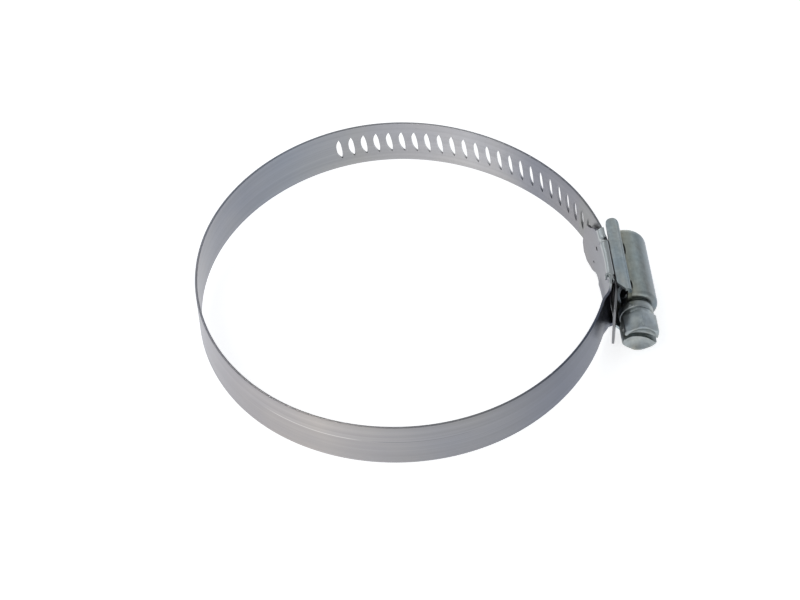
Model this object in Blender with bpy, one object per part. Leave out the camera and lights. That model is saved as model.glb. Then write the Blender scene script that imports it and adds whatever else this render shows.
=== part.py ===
"""Worm-drive hose clamp: stainless band, zinc-plated housing and slotted hex worm screw.

Row frame: origin on the ring's axis at the middle of the band's width, +Z along the hose,
+X towards the housing, screw axis parallel to Y with its head towards -Y. Metres.
"""

import bpy
import bmesh
import math
from mathutils import Vector

MM = 0.001

# Band
BAND_HALF = 6.35
BAND_THICK = 0.60
EDGE_CHAMFER = 0.10
RING_R = 47.89
RING_WAVES = ((2, 0.454, 0.039), (3, 0.272, -0.085), (4, 0.162, 0.050), (5, 0.062, 0.062))
LINK_GAP = 0.30
LAYER_GAP = 0.75
PITCH = 3.175
SLOTS_PER_LINK = 4
RING_SLOTS = 22
TAIL_SLOTS = 11
TAIL_LENGTH = 37.3
SLOT_HALF_LEN = 3.25
SLOT_OUT = 1.05
SLOT_IN = 0.35
SLOT_SLOPE = 0.13
JOIN_ANGLE = math.radians(21.2)
BAND_X = 49.85
STUB_ANGLE = math.radians(-20.9)
STUB_BEND_ANGLE = math.radians(-19.3)

# Fixed end of the band
WING_HALF = 8.00
WING_START = -11.8
WING_END = 1.9
LIP_TOP = 49.25
LIP_THICK = 0.65
TONGUE_END = 12.95

# Screw
SCREW_X = 53.75
LEAD = PITCH
CREST_R = 3.86
CORE_R = 2.90
RIDGE_TIP = 0.50
RIDGE_ROOT = 1.25
THREAD_START = -11.6
THREAD_END = 4.6
SCREW_TIP = 5.4
NECK_R = 2.85
COLLAR_R = 4.12
COLLAR_FRONT = -14.30
COLLAR_BACK = -16.30
HEX_BACK = -17.42
HEX_END = -22.85
HEX_AF = 8.00
HEX_TURN = math.radians(82.0)
DRIVER_SLOT_W = 1.50
DISH_R = 3.45
DISH_DEPTH = 1.05
DRIVER_SLOT_DEPTH = 2.1
DRIVER_SLOT_TURN = math.radians(-8.0)

# Housing
SHEET = 0.90
BARREL_R = 5.45
BORE_R = 4.50
BARREL_HEAD = -13.55
BARREL_TIP = 7.90
TIP_WALL = 0.90
TIP_ROUND = 2.4
HEAD_ROUND = 1.1
HEAD_HOLE_R = 3.30
SIDE_HALF = 8.00
SIDE_LOW = 49.52
WEB_TOP = 52.75
SIDE_HEAD = -13.90
SIDE_TIP = 8.40

PARTS = None
CUTTERS = None


def clear_scene():
    for obj in list(bpy.data.objects):
        bpy.data.objects.remove(obj, do_unlink=True)


def make_collections():
    global PARTS, CUTTERS
    PARTS = bpy.data.collections.new("hose_clamp")
    CUTTERS = bpy.data.collections.new("hose_clamp_cutters")
    bpy.context.scene.collection.children.link(PARTS)
    bpy.context.scene.collection.children.link(CUTTERS)
    CUTTERS.hide_render = True


def material(name, color, metallic, rough):
    mat = bpy.data.materials.new(name)
    mat.use_nodes = True
    bsdf = mat.node_tree.nodes["Principled BSDF"]
    bsdf.inputs["Base Color"].default_value = (*color, 1.0)
    bsdf.inputs["Metallic"].default_value = metallic
    bsdf.inputs["Roughness"].default_value = rough
    return mat


def add_mesh(name, verts, faces, cutter=False):
    """A mesh object from millimetre coordinates, with outward normals."""
    mesh = bpy.data.meshes.new(name)
    mesh.from_pydata([tuple(c * MM for c in v) for v in verts], [], faces)
    bm = bmesh.new()
    bm.from_mesh(mesh)
    bmesh.ops.recalc_face_normals(bm, faces=bm.faces)
    bm.to_mesh(mesh)
    bm.free()
    obj = bpy.data.objects.new(name, mesh)
    (CUTTERS if cutter else PARTS).objects.link(obj)
    if cutter:
        obj.hide_render = True
        obj.display_type = "WIRE"
    return obj


def loft(name, rings, cutter=False):
    """Joins equal cross-sections in order and closes both ends."""
    n = len(rings[0])
    verts = [p for ring in rings for p in ring]
    faces = [list(range(n))[::-1]]
    for i in range(len(rings) - 1):
        for j in range(n):
            k = (j + 1) % n
            faces.append([i * n + j, i * n + k, (i + 1) * n + k, (i + 1) * n + j])
    faces.append([(len(rings) - 1) * n + j for j in range(n)])
    return add_mesh(name, verts, faces, cutter)


def boolean(target, tool, operation):
    mod = target.modifiers.new(operation.lower(), "BOOLEAN")
    mod.operation = operation
    mod.solver = "EXACT"
    mod.object = tool
    depsgraph = bpy.context.evaluated_depsgraph_get()
    mesh = bpy.data.meshes.new_from_object(target.evaluated_get(depsgraph))
    target.modifiers.clear()
    old = target.data
    target.data = mesh
    bpy.data.meshes.remove(old)
    clean(target)


def clean(obj, dist=2e-6):
    bm = bmesh.new()
    bm.from_mesh(obj.data)
    bmesh.ops.remove_doubles(bm, verts=bm.verts, dist=dist)
    bmesh.ops.dissolve_degenerate(bm, edges=bm.edges, dist=dist)
    bm.to_mesh(obj.data)
    bm.free()


def finish(obj, mat, angle=35.0):
    obj.data.materials.clear()
    obj.data.materials.append(mat)
    for poly in obj.data.polygons:
        poly.use_smooth = True
        poly.material_index = 0
    bm = bmesh.new()
    bm.from_mesh(obj.data)
    limit = math.radians(angle)
    for edge in bm.edges:
        edge.smooth = len(edge.link_faces) == 2 and edge.calc_face_angle(0.0) < limit
    bm.to_mesh(obj.data)
    bm.free()


# ---- the band's line -------------------------------------------------------------------

def ring_radius(theta):
    r = RING_R
    for n, a, b in RING_WAVES:
        r += a * math.cos(n * theta) + b * math.sin(n * theta)
    return r


def ring_point(theta):
    """Point and outward normal of the band's middle line on the ring."""
    d = 1e-4
    r = ring_radius(theta)
    p = (r * math.cos(theta), r * math.sin(theta))
    r0, r1 = ring_radius(theta - d), ring_radius(theta + d)
    tx = r1 * math.cos(theta + d) - r0 * math.cos(theta - d)
    ty = r1 * math.sin(theta + d) - r0 * math.sin(theta - d)
    size = math.hypot(tx, ty)
    return p, (ty / size, -tx / size)


def tail_arc():
    """Centre and radius of the arc that the tail follows through the housing.

    It meets the ring at JOIN_ANGLE with the same slope, and its highest point is BAND_X.
    """
    (px, py), (nx, ny) = ring_point(JOIN_ANGLE)
    radius = (BAND_X - px) / (1.0 - nx)
    return px - radius * nx, py - radius * ny, radius, math.atan2(ny, nx)


def arc_at(radius, angle):
    cx, cy, _, _ = tail_arc()
    return cx + radius * math.cos(angle), cy + radius * math.sin(angle)


def arc_angle_at_y(radius, y):
    _, cy, _, _ = tail_arc()
    return math.asin((y - cy) / radius)


def ring_table(steps=7200):
    """Angle against arc length, from the join round to the stub."""
    end = 2.0 * math.pi + STUB_ANGLE
    rows = [(JOIN_ANGLE, 0.0)]
    last = ring_point(JOIN_ANGLE)[0]
    for i in range(1, steps + 1):
        theta = JOIN_ANGLE + (end - JOIN_ANGLE) * i / steps
        p = ring_point(theta)[0]
        rows.append((theta, rows[-1][1] + math.dist(p, last)))
        last = p
    return rows


def theta_at(rows, s):
    lo, hi = 0, len(rows) - 1
    while hi - lo > 1:
        mid = (lo + hi) // 2
        if rows[mid][1] <= s:
            lo = mid
        else:
            hi = mid
    a, b = rows[lo], rows[hi]
    return a[0] + (b[0] - a[0]) * (s - a[1]) / (b[1] - a[1])


def strip_section(p, n, low, high, thick=BAND_THICK):
    """Cross-section of the strip, across its width, with broken edges."""
    c = min(EDGE_CHAMFER, (high - low) / 4.0)
    h = thick / 2.0
    out = []
    for offset, z in ((h, low + c), (h, high - c), (h - c, high), (c - h, high),
                      (-h, high - c), (-h, low + c), (c - h, low), (h - c, low)):
        out.append((p[0] + n[0] * offset, p[1] + n[1] * offset, z))
    return out


# ---- slots -----------------------------------------------------------------------------

def slot_outline(steps=9):
    """Leaf shape in (along the band, across it); its bulge is on the +s side."""
    pts = []
    for i in range(steps):
        z = -SLOT_HALF_LEN + 2.0 * SLOT_HALF_LEN * i / (steps - 1)
        bow = 1.0 - (z / SLOT_HALF_LEN) ** 2
        pts.append((SLOT_SLOPE * z + SLOT_OUT * bow + 0.03, z))
    for i in reversed(range(steps)):
        z = -SLOT_HALF_LEN + 2.0 * SLOT_HALF_LEN * i / (steps - 1)
        bow = 1.0 - (z / SLOT_HALF_LEN) ** 2
        pts.append((SLOT_SLOPE * z - SLOT_IN * bow - 0.03, z))
    return pts


def slot_cutter(name, places):
    """One cutter with a separate leaf-shaped bar for each (point, normal) given."""
    outline = slot_outline()
    n = len(outline)
    verts, faces = [], []
    for p, nrm in places:
        t = (-nrm[1], nrm[0])
        base = len(verts)
        for depth in (-1.5, 1.5):
            for s, z in outline:
                verts.append((p[0] + nrm[0] * depth + t[0] * s, p[1] + nrm[1] * depth + t[1] * s, z))
        faces.append([base + j for j in range(n)])
        faces.append([base + n + j for j in range(n)])
        for j in range(n):
            k = (j + 1) % n
            faces.append([base + j, base + k, base + n + k, base + n + j])
    return add_mesh(name, verts, faces, cutter=True)


# ---- band ------------------------------------------------------------------------------

def build_links(mat):
    rows = ring_table()
    total = rows[-1][1]
    length = PITCH * SLOTS_PER_LINK
    count = int(total / length)
    if total - count * length > length * 0.45:
        count += 1
    cuts = [length * i for i in range(count)] + [total]
    for i in range(count):
        first = cuts[i] + LINK_GAP / 2.0
        last = cuts[i + 1] - LINK_GAP / 2.0
        steps = 8
        sections = []
        for j in range(steps + 1):
            p, n = ring_point(theta_at(rows, first + (last - first) * j / steps))
            sections.append(strip_section(p, n, -BAND_HALF, BAND_HALF))
        link = loft("band_link_%02d" % (i + 1), sections)
        places = []
        for k in range(RING_SLOTS):
            s = PITCH * (k + 0.5)
            if cuts[i] < s < cuts[i + 1]:
                places.append(ring_point(theta_at(rows, s)))
        if places:
            boolean(link, slot_cutter("link_slots_%02d" % (i + 1), places), "DIFFERENCE")
        finish(link, mat)


def tail_half_width(from_end):
    """The tail's end has rounded corners."""
    r = 1.1
    if from_end >= r:
        return BAND_HALF
    return BAND_HALF - r + math.sqrt(max(0.0, r * r - (r - from_end) ** 2))


def build_tail(mat):
    _, _, radius, top = tail_arc()
    start = LINK_GAP / 2.0
    stops = [start + (TAIL_LENGTH - 1.1 - start) * j / 22 for j in range(23)]
    stops += [TAIL_LENGTH - d for d in (0.75, 0.45, 0.2, 0.06, 0.0)]
    sections = []
    for s in stops:
        a = top - s / radius
        half = tail_half_width(TAIL_LENGTH - s)
        sections.append(strip_section(arc_at(radius, a), (math.cos(a), math.sin(a)), -half, half))
    tail = loft("band_tail", sections)
    places = []
    for k in range(TAIL_SLOTS):
        a = top - PITCH * (k + 0.5) / radius
        places.append((arc_at(radius, a), (math.cos(a), math.sin(a))))
    boolean(tail, slot_cutter("tail_slots", places), "DIFFERENCE")
    finish(tail, mat)


def edge_curve(knots, y):
    """Smooth curve through (y, z) knots, flat beyond the first and last of them."""
    if y <= knots[0][0]:
        return knots[0][1]
    for (y0, z0), (y1, z1) in zip(knots, knots[1:]):
        if y <= y1:
            u = (y - y0) / (y1 - y0)
            return z0 + (z1 - z0) * (u * u * (3.0 - 2.0 * u))
    return knots[-1][1]


UPPER_EDGE = ((-12.9, BAND_HALF), (WING_START, WING_HALF), (WING_END, WING_HALF), (3.3, 7.2),
              (10.8, 3.4), (12.1, 1.0), (TONGUE_END, -3.6))
LOWER_EDGE = ((-12.9, -BAND_HALF), (WING_START, -WING_HALF), (WING_END, -WING_HALF), (4.1, -7.1),
              (7.8, -8.8), (10.4, -8.9), (12.2, -7.5), (TONGUE_END, -5.2))


def bezier(p0, p1, p2, p3, u):
    v = 1.0 - u
    w = (v * v * v, 3 * v * v * u, 3 * v * u * u, u * u * u)
    d = (-3 * v * v, 3 * v * v - 6 * v * u, 6 * v * u - 3 * u * u, 3 * u * u)
    p = [sum(k * q[i] for k, q in zip(w, (p0, p1, p2, p3))) for i in (0, 1)]
    t = [sum(k * q[i] for k, q in zip(d, (p0, p1, p2, p3))) for i in (0, 1)]
    size = math.hypot(*t)
    return p, (-t[1] / size, t[0] / size)


def fixed_end_line():
    """Middle line of the fixed end, from the tongue's end to the stub, with normals."""
    _, _, radius, _ = tail_arc()
    mid = radius - BAND_THICK - LAYER_GAP
    line = []
    ys = [TONGUE_END - 0.02, 12.7, 12.3, 11.8, 11.2, 10.5, 9.8, 9.0, 8.2, 7.3, 6.4, 5.3, 4.3, 3.4, 2.6, 1.9]
    ys += [0.8 - 1.4 * j for j in range(9)] + [-11.3]
    for y in ys:
        a = arc_angle_at_y(mid, y)
        line.append((arc_at(mid, a), (math.cos(a), math.sin(a))))
    p0, n0 = line[-1]
    p3, n3 = ring_point(STUB_BEND_ANGLE)
    reach = 2.3
    p1 = (p0[0] + n0[1] * reach, p0[1] - n0[0] * reach)
    p2 = (p3[0] - n3[1] * reach, p3[1] + n3[0] * reach)
    for j in range(1, 13):
        line.append(bezier(p0, p1, p2, p3, j / 12.0))
    line.append(ring_point(STUB_ANGLE + LINK_GAP / 2.0 / RING_R))
    return line


def build_fixed_end(mat):
    sections = []
    for p, n in fixed_end_line():
        low = edge_curve(LOWER_EDGE, p[1])
        high = edge_curve(UPPER_EDGE, p[1])
        sections.append(strip_section(p, n, low, high))
    plate = loft("band_fixed_end", sections)
    for side in (1, -1):
        lip = wing_lip("wing_lip_%s" % ("top" if side > 0 else "low"), side)
        boolean(plate, lip, "UNION")
    finish(plate, mat, 30.0)


def wing_lip(name, side):
    """The wing's turned-up edge, a wall along the housing's side."""
    _, _, radius, _ = tail_arc()
    low_r = radius - 1.5 * BAND_THICK - LAYER_GAP + 0.14
    outer = side * (WING_HALF - 0.012)
    inner = side * (WING_HALF - LIP_THICK)
    ys = [WING_START + 0.25 + (WING_END - WING_START - 0.5) * j / 12 for j in range(13)]
    bottom = []
    for y in ys:
        a = arc_angle_at_y(low_r, y)
        bottom.append(arc_at(low_r, a))
    top = [(LIP_TOP - 0.55, ys[-1]), (LIP_TOP - 0.16, ys[-1] - 0.16), (LIP_TOP, ys[-1] - 0.55)]
    top += [(LIP_TOP, ys[0] + 0.55), (LIP_TOP - 0.16, ys[0] + 0.16), (LIP_TOP - 0.55, ys[0])]
    outline = bottom + top
    rings = []
    c = 0.12
    cx = sum(p[0] for p in outline) / len(outline)
    for z, shrink in ((outer, c), (outer - side * c, 0.0), (inner, 0.0)):
        ring = []
        for x, y in outline:
            if shrink and x > LIP_TOP - 0.6:
                x -= shrink
            ring.append((x, y, z))
        rings.append(ring)
    return loft(name, rings, cutter=True)


# ---- screw -----------------------------------------------------------------------------

def turned(name, profile, center, segments=48, cutter=False, start=0.0):
    """A solid of revolution about a line parallel to Y, from (y, r) pairs."""
    rings = []
    for y, r in profile:
        ring = []
        for j in range(segments):
            a = start + 2.0 * math.pi * j / segments
            ring.append((center + r * math.cos(a), y, r * math.sin(a)))
        rings.append(ring)
    return loft(name, rings, cutter)


def thread_phase():
    """Y of a ridge on the side facing the band, in the middle of the slot nearest the top."""
    cx, cy, radius, top = tail_arc()
    best = None
    for k in range(TAIL_SLOTS):
        a = top - PITCH * (k + 0.5) / radius
        if best is None or abs(a) < abs(best):
            best = a
    return cy + radius * math.sin(best) + 0.5 * (SLOT_OUT - SLOT_IN)


def thread_ridge(name):
    """Right-handed ridge wound about the screw's axis, as its own closed body."""
    phase = thread_phase()
    seg = 30
    first = math.ceil((THREAD_START - phase) / LEAD * seg)
    last = math.floor((THREAD_END - phase) / LEAD * seg)
    rings = []
    for i in range(first, last + 1):
        turn = 2.0 * math.pi * i / seg
        y = phase + LEAD * i / seg
        grow = min(1.0, (i - first) / 5.0, (last - i) / 5.0)
        crest = CORE_R - 0.12 + (CREST_R - CORE_R + 0.12) * max(0.02, grow)
        # The angle is measured from -X, turning from -X towards +Z as Y grows.
        ux, uz = -math.cos(turn), math.sin(turn)
        ring = []
        for r, off in ((CORE_R - 0.3, -RIDGE_ROOT / 2), (crest, -RIDGE_TIP / 2), (crest, RIDGE_TIP / 2),
                       (CORE_R - 0.3, RIDGE_ROOT / 2)):
            ring.append((SCREW_X + r * ux, y + off, r * uz))
        rings.append(ring)
    return loft(name, rings, cutter=True)


def hexagon(name):
    corner = HEX_AF / math.sqrt(3.0)
    rings = []
    for y in (HEX_BACK, HEX_END):
        ring = []
        for j in range(6):
            a = HEX_TURN + math.pi / 3.0 * j
            ring.append((SCREW_X + corner * math.cos(a), y, corner * math.sin(a)))
        rings.append(ring)
    return loft(name, rings)


def build_screw(mat):
    screw = hexagon("worm_screw")
    corner = HEX_AF / math.sqrt(3.0)
    flat = HEX_AF / 2.0
    envelope = [(HEX_BACK + 0.5, flat * 0.97), (HEX_BACK + 0.0, flat * 0.985), (HEX_BACK - 0.42, corner + 0.02),
                (HEX_END + 0.95, corner + 0.02), (HEX_END + 0.35, flat * 1.0), (HEX_END + 0.08, flat * 0.95),
                (HEX_END, flat * 0.90), (HEX_END - 0.01, 0.9)]
    boolean(screw, turned("hex_envelope", envelope, SCREW_X, cutter=True), "INTERSECT")
    dish = [(HEX_END - 0.5, DISH_R), (HEX_END + 0.1, DISH_R - 0.05), (HEX_END + 0.5, DISH_R - 0.4),
            (HEX_END + DISH_DEPTH - 0.18, DISH_R - 1.1), (HEX_END + DISH_DEPTH - 0.04, DISH_R - 2.1),
            (HEX_END + DISH_DEPTH, 0.4)]
    boolean(screw, turned("head_dish", dish, SCREW_X, 40, cutter=True, start=math.radians(3.0)), "DIFFERENCE")
    slot = driver_slot("driver_slot")
    boolean(screw, slot, "DIFFERENCE")
    shank = [(HEX_BACK - 0.6, 3.4), (COLLAR_BACK - 0.12, 3.4), (COLLAR_BACK, COLLAR_R - 0.25),
             (COLLAR_BACK + 0.22, COLLAR_R), (COLLAR_FRONT - 0.25, COLLAR_R), (COLLAR_FRONT, COLLAR_R - 0.25),
             (COLLAR_FRONT + 0.02, NECK_R), (THREAD_START - 0.55, NECK_R), (THREAD_START - 0.3, CORE_R),
             (SCREW_TIP - 0.8, CORE_R), (SCREW_TIP, CORE_R - 0.9)]
    boolean(screw, turned("shank", shank, SCREW_X, cutter=True, start=math.radians(2.0)), "UNION")
    boolean(screw, thread_ridge("thread_ridge"), "UNION")
    finish(screw, mat, 32.0)


def driver_slot(name):
    h = DRIVER_SLOT_W / 2.0
    ca, sa = math.cos(DRIVER_SLOT_TURN), math.sin(DRIVER_SLOT_TURN)
    rings = []
    for y in (HEX_END - 1.0, HEX_END + DRIVER_SLOT_DEPTH):
        ring = []
        for u, v in ((-6.0, -h), (6.0, -h), (6.0, h), (-6.0, h)):
            ring.append((SCREW_X + u * ca - v * sa, y, u * sa + v * ca))
        rings.append(ring)
    return loft(name, rings, cutter=True)


# ---- housing ---------------------------------------------------------------------------

def box(name, lo, hi, cutter=False):
    rings = []
    for y in (lo[1], hi[1]):
        rings.append([(lo[0], y, lo[2]), (hi[0], y, lo[2]), (hi[0], y, hi[2]), (lo[0], y, hi[2])])
    return loft(name, rings, cutter)


def saddle_section(y, tip):
    """Half-round ends on the side walls come from tip, how far the walls reach in."""
    inner = SIDE_HALF - SHEET
    top, low = WEB_TOP - tip, SIDE_LOW + tip
    b = 0.28
    return [(low, y, SIDE_HALF), (top - b, y, SIDE_HALF), (top, y, SIDE_HALF - b), (top, y, -SIDE_HALF + b),
            (top - b, y, -SIDE_HALF), (low, y, -SIDE_HALF), (low, y, -inner), (top - SHEET, y, -inner),
            (top - SHEET, y, inner), (low, y, inner)]


def side_channel(name):
    """Web and side walls as one bent channel, open towards the band."""
    r = (WEB_TOP - SIDE_LOW) / 2.0
    rings = []
    for y in (SIDE_HEAD, SIDE_TIP - r):
        rings.append(saddle_section(y, 0.0))
    return loft(name, rings)


def side_tips(name, side):
    """The rounded free end of one side wall."""
    r = (WEB_TOP - SIDE_LOW) / 2.0
    mid = (WEB_TOP + SIDE_LOW) / 2.0
    z0 = side * (SIDE_HALF - SHEET)
    z1 = side * SIDE_HALF
    b = 0.28
    rings = []
    for z, shrink in ((z0, 0.0), (z1 - side * b, 0.0), (z1, b)):
        ring = []
        for j in range(17):
            a = math.pi * j / 16.0
            size = r - (shrink if j <= 8 else shrink * math.sin(a))
            ring.append((mid + size * math.cos(a), SIDE_TIP - r + size * math.sin(a), z))
        ring.append((mid - r, SIDE_TIP - r - 1.0, z))
        ring.append((mid + r - shrink, SIDE_TIP - r - 1.0, z))
        rings.append(ring)
    return loft(name, rings, cutter=True)


def head_corner(name, side):
    """The slanted corner of a side wall, at the screw head's end."""
    rings = []
    for z in (side * (SIDE_HALF - SHEET - 0.5), side * (SIDE_HALF + 1.0)):
        rings.append([(x, y, z) for x, y in ((48.4, -14.6), (51.85, -14.6), (49.1, -11.3), (48.4, -11.3))])
    return loft(name, rings, cutter=True)


def barrel_profile():
    pts = [(BARREL_HEAD, HEAD_HOLE_R - 1.0)]
    for j in range(7):
        a = math.pi / 2.0 * j / 6.0
        pts.append((BARREL_HEAD + HEAD_ROUND * (1.0 - math.cos(a)), BARREL_R - HEAD_ROUND * (1.0 - math.sin(a))))
    for j in range(9):
        a = math.pi / 2.0 * j / 8.0
        pts.append((BARREL_TIP - TIP_ROUND + TIP_ROUND * math.sin(a), BARREL_R - TIP_ROUND + TIP_ROUND * math.cos(a)))
    return pts


def build_housing(mat):
    housing = side_channel("housing")
    for side in (1, -1):
        boolean(housing, side_tips("side_tip_%d" % side, side), "UNION")
    barrel = turned("barrel", barrel_profile(), SCREW_X, cutter=True, start=math.radians(3.75))
    boolean(housing, barrel, "UNION")
    inside = [(BARREL_HEAD + SHEET, BORE_R - 0.35), (BARREL_HEAD + SHEET + 0.35, BORE_R),
              (BARREL_TIP - TIP_WALL - 1.4, BORE_R), (BARREL_TIP - TIP_WALL - 0.4, BORE_R - 0.4),
              (BARREL_TIP - TIP_WALL, BORE_R - 1.4)]
    boolean(housing, turned("bore_cutter", inside, SCREW_X, cutter=True, start=math.radians(1.0)), "DIFFERENCE")
    hole = [(BARREL_HEAD - 1.0, HEAD_HOLE_R), (BARREL_HEAD + 2.0, HEAD_HOLE_R)]
    boolean(housing, turned("head_hole", hole, SCREW_X, cutter=True, start=math.radians(2.0)), "DIFFERENCE")
    inner = SIDE_HALF - SHEET
    under = WEB_TOP - SHEET
    boolean(housing, box("channel_cutter", (45.0, BARREL_HEAD - 1.0, -inner), (under - 0.001, SIDE_TIP + 1.0, inner), True),
            "DIFFERENCE")
    for side in (1, -1):
        boolean(housing, head_corner("head_corner_%d" % side, side), "DIFFERENCE")
    for z0 in (inner - 0.92, 0.40 - inner):
        for y0, y1 in ((-2.1, 1.3), (-12.1, -9.6)):
            slit = box("bend_relief", (under - 0.8, y0, z0), (WEB_TOP + 1.0, y1, z0 + 0.52), True)
            boolean(housing, slit, "DIFFERENCE")
    finish(housing, mat, 32.0)


def main():
    clear_scene()
    make_collections()
    band = material("band_stainless", (0.58, 0.58, 0.60), 1.0, 0.34)
    zinc = material("housing_zinc", (0.47, 0.50, 0.50), 1.0, 0.42)
    steel = material("screw_zinc", (0.52, 0.55, 0.55), 1.0, 0.36)
    build_housing(zinc)
    build_fixed_end(band)
    build_screw(steel)
    build_tail(band)
    build_links(band)


main()
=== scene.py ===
"""Looks of the worm-drive hose clamp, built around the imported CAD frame.

Sizes and places are in millimetres, angles in radians, and the housing is on the +X side of the ring.
"""

import bmesh
import bpy
import math
import numpy as np
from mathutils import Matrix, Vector


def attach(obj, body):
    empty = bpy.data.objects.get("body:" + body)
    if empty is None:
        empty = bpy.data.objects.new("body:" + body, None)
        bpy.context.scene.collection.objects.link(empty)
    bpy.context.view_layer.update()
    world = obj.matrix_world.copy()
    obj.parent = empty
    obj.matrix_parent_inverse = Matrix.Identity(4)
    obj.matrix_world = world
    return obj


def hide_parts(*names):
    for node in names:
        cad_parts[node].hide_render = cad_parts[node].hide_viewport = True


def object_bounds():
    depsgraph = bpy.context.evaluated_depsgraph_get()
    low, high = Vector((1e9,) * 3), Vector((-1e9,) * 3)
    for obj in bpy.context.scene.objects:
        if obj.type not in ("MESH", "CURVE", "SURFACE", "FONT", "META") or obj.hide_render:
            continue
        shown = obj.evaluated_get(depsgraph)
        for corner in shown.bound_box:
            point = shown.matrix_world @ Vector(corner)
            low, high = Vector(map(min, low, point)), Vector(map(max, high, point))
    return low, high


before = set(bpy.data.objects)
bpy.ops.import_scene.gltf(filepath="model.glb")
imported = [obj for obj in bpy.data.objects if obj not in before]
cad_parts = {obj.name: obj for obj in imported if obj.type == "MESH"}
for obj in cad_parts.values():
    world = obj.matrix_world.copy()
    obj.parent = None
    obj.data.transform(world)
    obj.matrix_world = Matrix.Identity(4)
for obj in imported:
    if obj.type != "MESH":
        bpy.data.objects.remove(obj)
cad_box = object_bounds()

MM = 0.001

# ---- sizes -----------------------------------------------------------------------------
# Most are the CAD's. Tuned one by one are the slots' bulge, the plate's wings, edge and tongue end, the lip's
# top, the screw head's dish and driver slot, and the relief slits.

BAND_HALF = 6.35
BAND_THICK = 0.60
EDGE_ROUND = 0.14
RING_R = 47.89
RING_WAVES = ((2, 0.454, 0.039), (3, 0.272, -0.085), (4, 0.162, 0.050), (5, 0.062, 0.062))
LAYER_GAP = 0.75
PITCH = 3.175
SLOTS_PER_LINK = 4
RING_SLOTS = 22
TAIL_SLOTS = 11
TAIL_LENGTH = 37.3
TAIL_CORNER = 1.1
SLOT_HALF_LEN = 3.25
SLOT_OUT = 0.95
SLOT_IN = 0.35
SLOT_SLOPE = 0.13
SLOT_BLUNT = 2.8
LAP = 0.40
LAP_SLACK = 0.015
JOIN_ANGLE = math.radians(21.2)
BAND_X = 49.85
STUB_ANGLE = math.radians(-20.9)
STUB_BEND_ANGLE = math.radians(-19.3)

WING_HALF = 7.98
WING_START = -11.8
WING_END = 1.9
LIP_TOP = 49.22
LIP_BEND = 0.55
UPPER_LIP_START = 2.2
LOWER_LIP_START = 0.15
TAB_END = 5.9
TAB_RISE = 0.82
TONGUE_END = 12.93
TONGUE_MARKS = ((5.0, 1.35, 0.55), (6.4, -5.0, 0.36))
CURL_X = 47.90
CURL_Y = -9.75
CURL_R = 0.74
CURL_LOW = 7.00
CURL_HIGH = 8.30
CURL_HALF_THICK = 0.20
CURL_CHAMFER = 0.07

SCREW_X = 53.75
LEAD = PITCH
CREST_R = 3.86
CORE_R = 2.90
RIDGE_TIP = 0.50
RIDGE_ROOT = 1.25
THREAD_START = -11.6
THREAD_END = 4.6
SCREW_TIP = 5.4
NECK_R = 2.85
NECK_BY_HEX_R = 3.86
COLLAR_R = 4.12
COLLAR_FRONT = -14.30
COLLAR_BACK = -16.30
HEX_BACK = -17.42
HEX_END = -22.85
HEX_AF = 8.00
HEX_TURN = math.radians(82.0)
DRIVER_SLOT_W = 1.50
DISH_R = 3.70
DISH_DEPTH = 1.45
DRIVER_SLOT_DEPTH = 2.5
DRIVER_SLOT_TURN = math.radians(-14.0)

SHEET = 0.90
BARREL_R = 5.45
BORE_R = 4.50
BARREL_HEAD = -13.55
BARREL_TIP = 7.90
TIP_WALL = 0.90
TIP_ROUND = 2.4
HEAD_ROUND = 1.1
HEAD_HOLE_R = 3.30
SIDE_HALF = 8.00
SIDE_LOW = 49.52
SIDE_BEND = 1.15
WEB_TOP = 52.75
SIDE_HEAD = -13.90
SIDE_TIP = 8.40
HEAD_CORNER = ((48.4, -14.6), (51.85, -14.6), (49.1, -11.3), (48.4, -11.3))
RELIEF_X = 53.16
RELIEF_RUNS = ((-1.3, 2.4), (-12.0, -9.3))


# ---- mesh helpers ----------------------------------------------------------------------

def new_object(name, verts, faces):
    """A mesh object from millimetre coordinates, with outward normals."""
    mesh = bpy.data.meshes.new(name)
    mesh.from_pydata([tuple(c * MM for c in v) for v in verts], [], faces)
    obj = bpy.data.objects.new(name, mesh)
    bpy.context.scene.collection.objects.link(obj)
    bm = bmesh.new()
    bm.from_mesh(mesh)
    bmesh.ops.recalc_face_normals(bm, faces=bm.faces)
    bm.to_mesh(mesh)
    bm.free()
    return obj


def loft(name, rings):
    """Joins equal cross-sections in order and closes both ends."""
    n = len(rings[0])
    verts = [p for ring in rings for p in ring]
    faces = [list(range(n))[::-1]]
    for i in range(len(rings) - 1):
        for j in range(n):
            k = (j + 1) % n
            faces.append([i * n + j, i * n + k, (i + 1) * n + k, (i + 1) * n + j])
    faces.append([(len(rings) - 1) * n + j for j in range(n)])
    return new_object(name, verts, faces)


def apply_modifiers(obj):
    depsgraph = bpy.context.evaluated_depsgraph_get()
    mesh = bpy.data.meshes.new_from_object(obj.evaluated_get(depsgraph))
    obj.modifiers.clear()
    old = obj.data
    obj.data = mesh
    bpy.data.meshes.remove(old)


def boolean(obj, tool, operation="DIFFERENCE"):
    """Cuts obj with tool, or joins them, and removes tool."""
    mod = obj.modifiers.new("cut", "BOOLEAN")
    mod.operation = operation
    mod.solver = "EXACT"
    mod.object = tool
    apply_modifiers(obj)
    bpy.data.objects.remove(tool, do_unlink=True)
    bm = bmesh.new()
    bm.from_mesh(obj.data)
    bmesh.ops.remove_doubles(bm, verts=bm.verts, dist=1e-6)
    bmesh.ops.dissolve_degenerate(bm, edges=bm.edges, dist=1e-6)
    bm.to_mesh(obj.data)
    bm.free()
    return obj


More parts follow.
